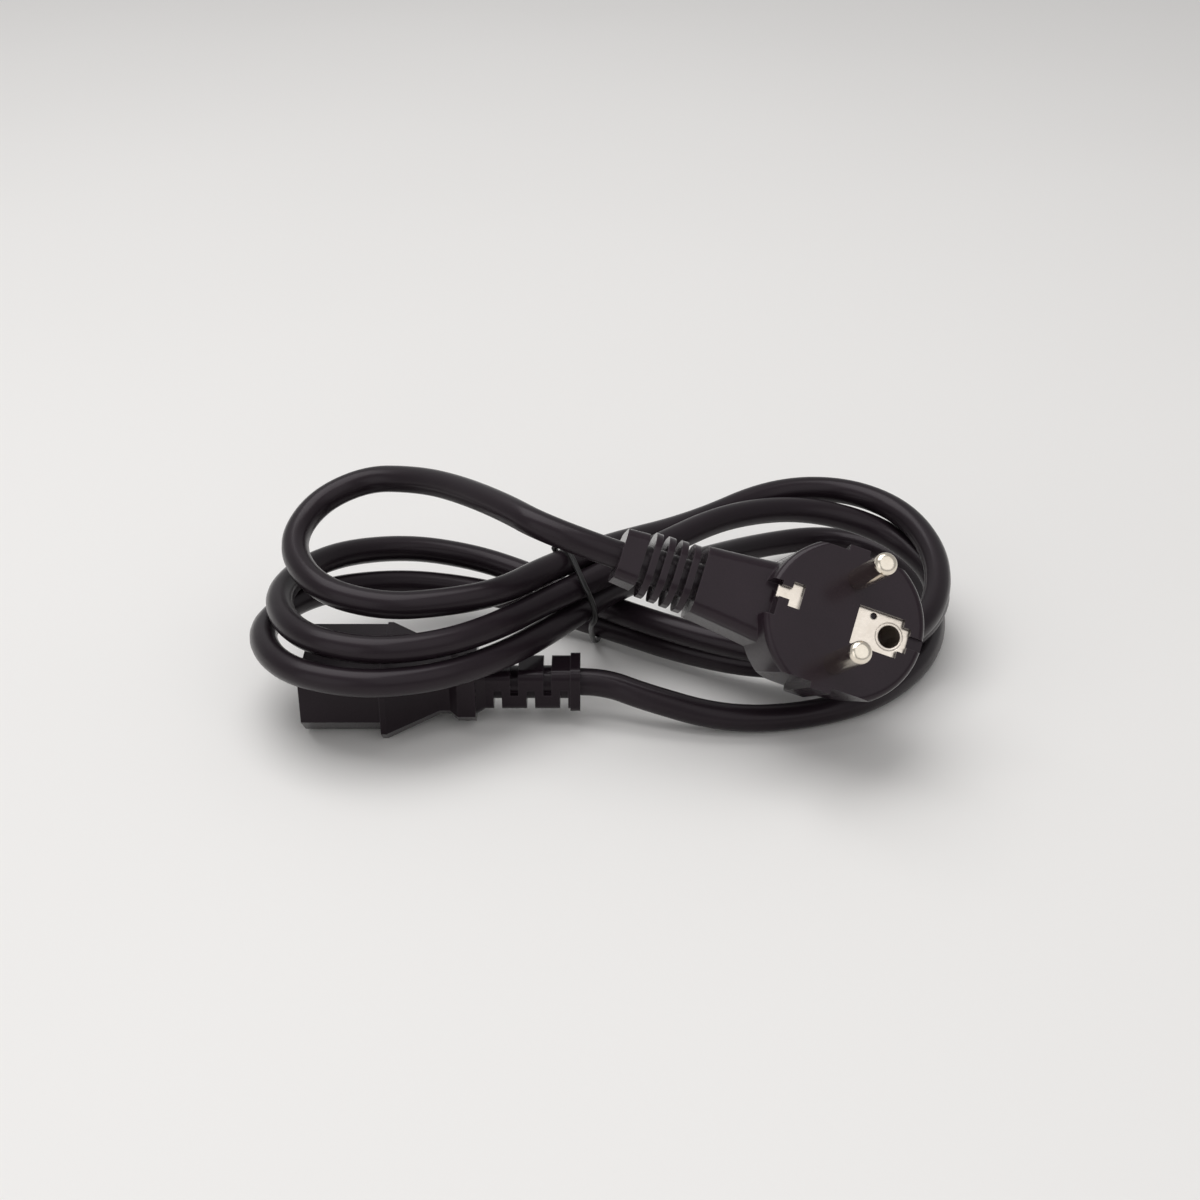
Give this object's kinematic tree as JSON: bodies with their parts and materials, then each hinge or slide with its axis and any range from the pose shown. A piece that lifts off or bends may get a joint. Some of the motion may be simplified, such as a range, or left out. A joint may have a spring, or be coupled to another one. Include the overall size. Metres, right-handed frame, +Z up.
{
  "type": "power cord",
  "caption": "Black mains power cord with an angled round-pin plug and a three-pole appliance connector, wound as a figure-eight hank and held by a wire tie.",
  "frame": {"origin": "on the resting surface, under the middle of the hank's outline", "axes": "+X along the hank from the connector's lobes to the plug's lobes, +Y away from the viewer, +Z up"},
  "size_m": [0.1634, 0.1155, 0.0538],
  "materials": {
    "plug_pvc": "satin moulded PVC",
    "cord_pvc": "satin extruded PVC",
    "plated_metal": "pale nickel plate",
    "contact_brass": "plain brass",
    "tie_coating": "plastic-coated wire"
  },
  "bodies": {
    "root": {"plug_body": "plug_pvc", "pin_upper": "plated_metal", "pin_lower": "plated_metal", "earth_bracket": "plated_metal", "earth_socket": "plated_metal", "connector_body": "plug_pvc", "contact_near": "contact_brass", "contact_far": "contact_brass", "contact_earth": "contact_brass", "cord": "cord_pvc", "wire_tie": "tie_coating"}
  },
  "joints": []
}
